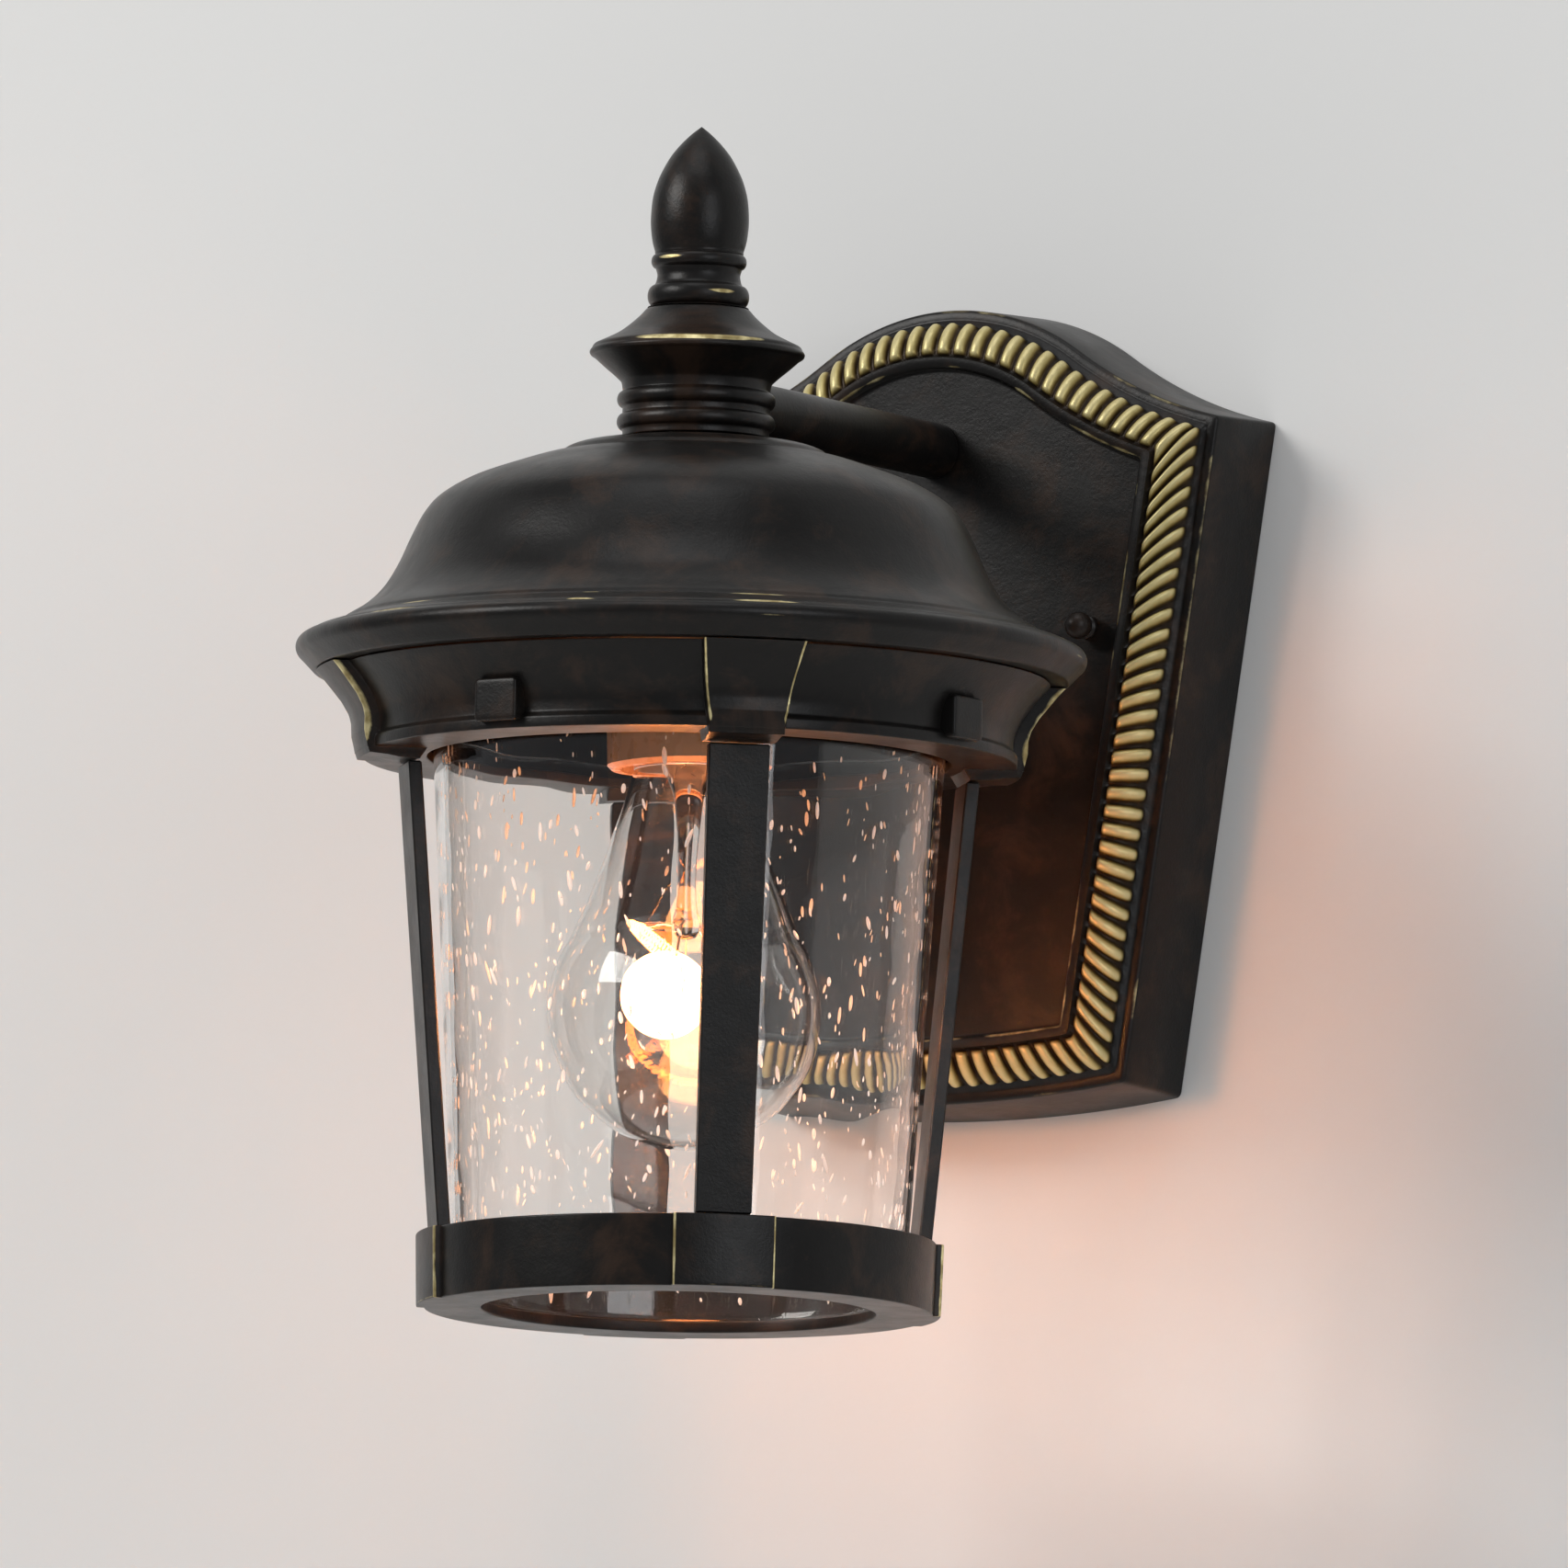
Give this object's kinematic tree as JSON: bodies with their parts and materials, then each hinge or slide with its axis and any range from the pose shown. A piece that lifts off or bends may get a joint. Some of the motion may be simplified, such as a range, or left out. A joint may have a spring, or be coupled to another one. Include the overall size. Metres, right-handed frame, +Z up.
{
  "type": "outdoor wall lantern",
  "caption": "Wall lantern with an arched fluted back plate, one arm, a turned roof and finial, and a caged tapered seeded-glass shade open below round a screw-in bulb.",
  "frame": {"origin": "middle of the crossbar's back face, on the wall", "axes": "+Y into the wall, +Z up, +X to the right for someone facing the lantern"},
  "size_m": [0.174, 0.2225, 0.262],
  "materials": {
    "bronze": "satin oil-rubbed bronze finish, near black with faint brown mottling and gilt rubbed edges",
    "gilt_rub": "antique gold rubbed over the fluted band, dark in the grooves",
    "zinc_steel": "zinc plated steel",
    "green_zinc": "green dyed zinc plate",
    "seeded_glass": "clear glass with small drawn-out seeds",
    "bulb_glass": "thin clear glass",
    "black_glass": "black glass insulator",
    "aluminium": "rolled thread",
    "brass": "plain brass",
    "filament": "lit tungsten coil",
    "porcelain": "white glazed porcelain",
    "black_sleeve": "black fixture wire insulation",
    "white_sleeve": "white fixture wire insulation"
  },
  "bodies": {
    "lantern": {"arm": "bronze", "arm_locknut": "zinc_steel", "arm_washer": "zinc_steel", "backplate": "bronze", "bottom_ring": "bronze", "cage_screw_1": "bronze", "cage_screw_2": "bronze", "cage_screw_3": "bronze", "cage_screw_4": "bronze", "collar": "bronze", "crossbar": "zinc_steel", "finial_stud": "zinc_steel", "glass_shade": "seeded_glass", "ground_screw": "green_zinc", "hub": "bronze", "lead_black": "black_sleeve", "lead_white": "white_sleeve", "mounting_stud_left": "zinc_steel", "mounting_stud_right": "zinc_steel", "post_1": "bronze", "post_2": "bronze", "post_3": "bronze", "post_4": "bronze", "roof": "bronze", "roof_nut": "zinc_steel", "roof_washer": "zinc_steel", "socket_body": "porcelain", "socket_cap": "zinc_steel", "socket_contact": "brass", "socket_shell": "brass", "stud_nut_left": "zinc_steel", "stud_nut_right": "zinc_steel", "threaded_tube": "zinc_steel"},
    "finial": {"finial": "bronze"},
    "cap_nut_left": {"cap_nut_left": "bronze"},
    "cap_nut_right": {"cap_nut_right": "bronze"},
    "bulb": {"bulb_glass": "bulb_glass", "bulb_base": "aluminium", "bulb_contact": "brass", "bulb_insulator": "black_glass", "bulb_stem": "bulb_glass", "bulb_filament": "filament"}
  },
  "joints": [
    {"name": "finial_turn", "type": "hinge", "parent": "lantern", "child": "finial", "pos_m": [0, -0.1355, 0.0603], "axis": [0, 0, 1], "continuous": true},
    {"name": "cap_nut_left_turn", "type": "hinge", "parent": "lantern", "child": "cap_nut_left", "pos_m": [-0.0397, -0.03, 0], "axis": [0, -1, 0], "continuous": true},
    {"name": "cap_nut_right_turn", "type": "hinge", "parent": "lantern", "child": "cap_nut_right", "pos_m": [0.0397, -0.03, 0], "axis": [0, -1, 0], "continuous": true},
    {"name": "bulb_turn", "type": "hinge", "parent": "lantern", "child": "bulb", "pos_m": [0, -0.1355, -0.0412], "axis": [0, 0, 1], "continuous": true}
  ]
}
